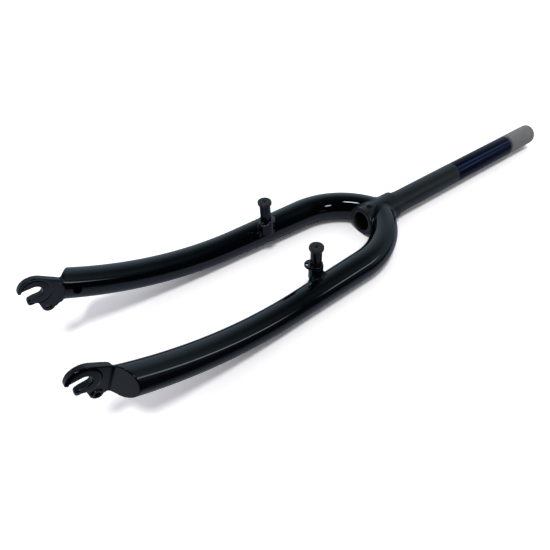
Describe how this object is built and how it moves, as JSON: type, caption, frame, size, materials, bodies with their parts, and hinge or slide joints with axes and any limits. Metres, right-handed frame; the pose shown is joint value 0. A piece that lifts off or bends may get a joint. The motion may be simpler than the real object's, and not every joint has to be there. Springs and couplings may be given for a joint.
{
  "type": "mountain bike fork",
  "caption": "Rigid unicrown steel bicycle fork: straight steerer tube, curved hollow legs, slotted dropouts with eyelets and rim brake posts under plastic caps.",
  "frame": {"origin": "on the steering axis, at the shoulder under the crown race seat", "axes": "+Y along the steering axis to the steerer's free end, +X to the fork's left leg, +Z to the front of the fork"},
  "size_m": [0.1506, 0.6418, 0.0814],
  "materials": {
    "steerer_finish": "satin and gloss black paint, bare grey steel at the free end",
    "gloss_black_paint": "gloss black",
    "black_cap_plastic": "smooth black"
  },
  "bodies": {
    "root": {"steerer_tube": "steerer_finish", "left_leg": "gloss_black_paint", "left_dropout": "gloss_black_paint", "left_brake_boss": "gloss_black_paint", "left_spring_plate": "gloss_black_paint", "left_post_cap": "black_cap_plastic", "right_leg": "gloss_black_paint", "right_dropout": "gloss_black_paint", "right_brake_boss": "gloss_black_paint", "right_spring_plate": "gloss_black_paint", "right_post_cap": "black_cap_plastic"}
  },
  "joints": []
}
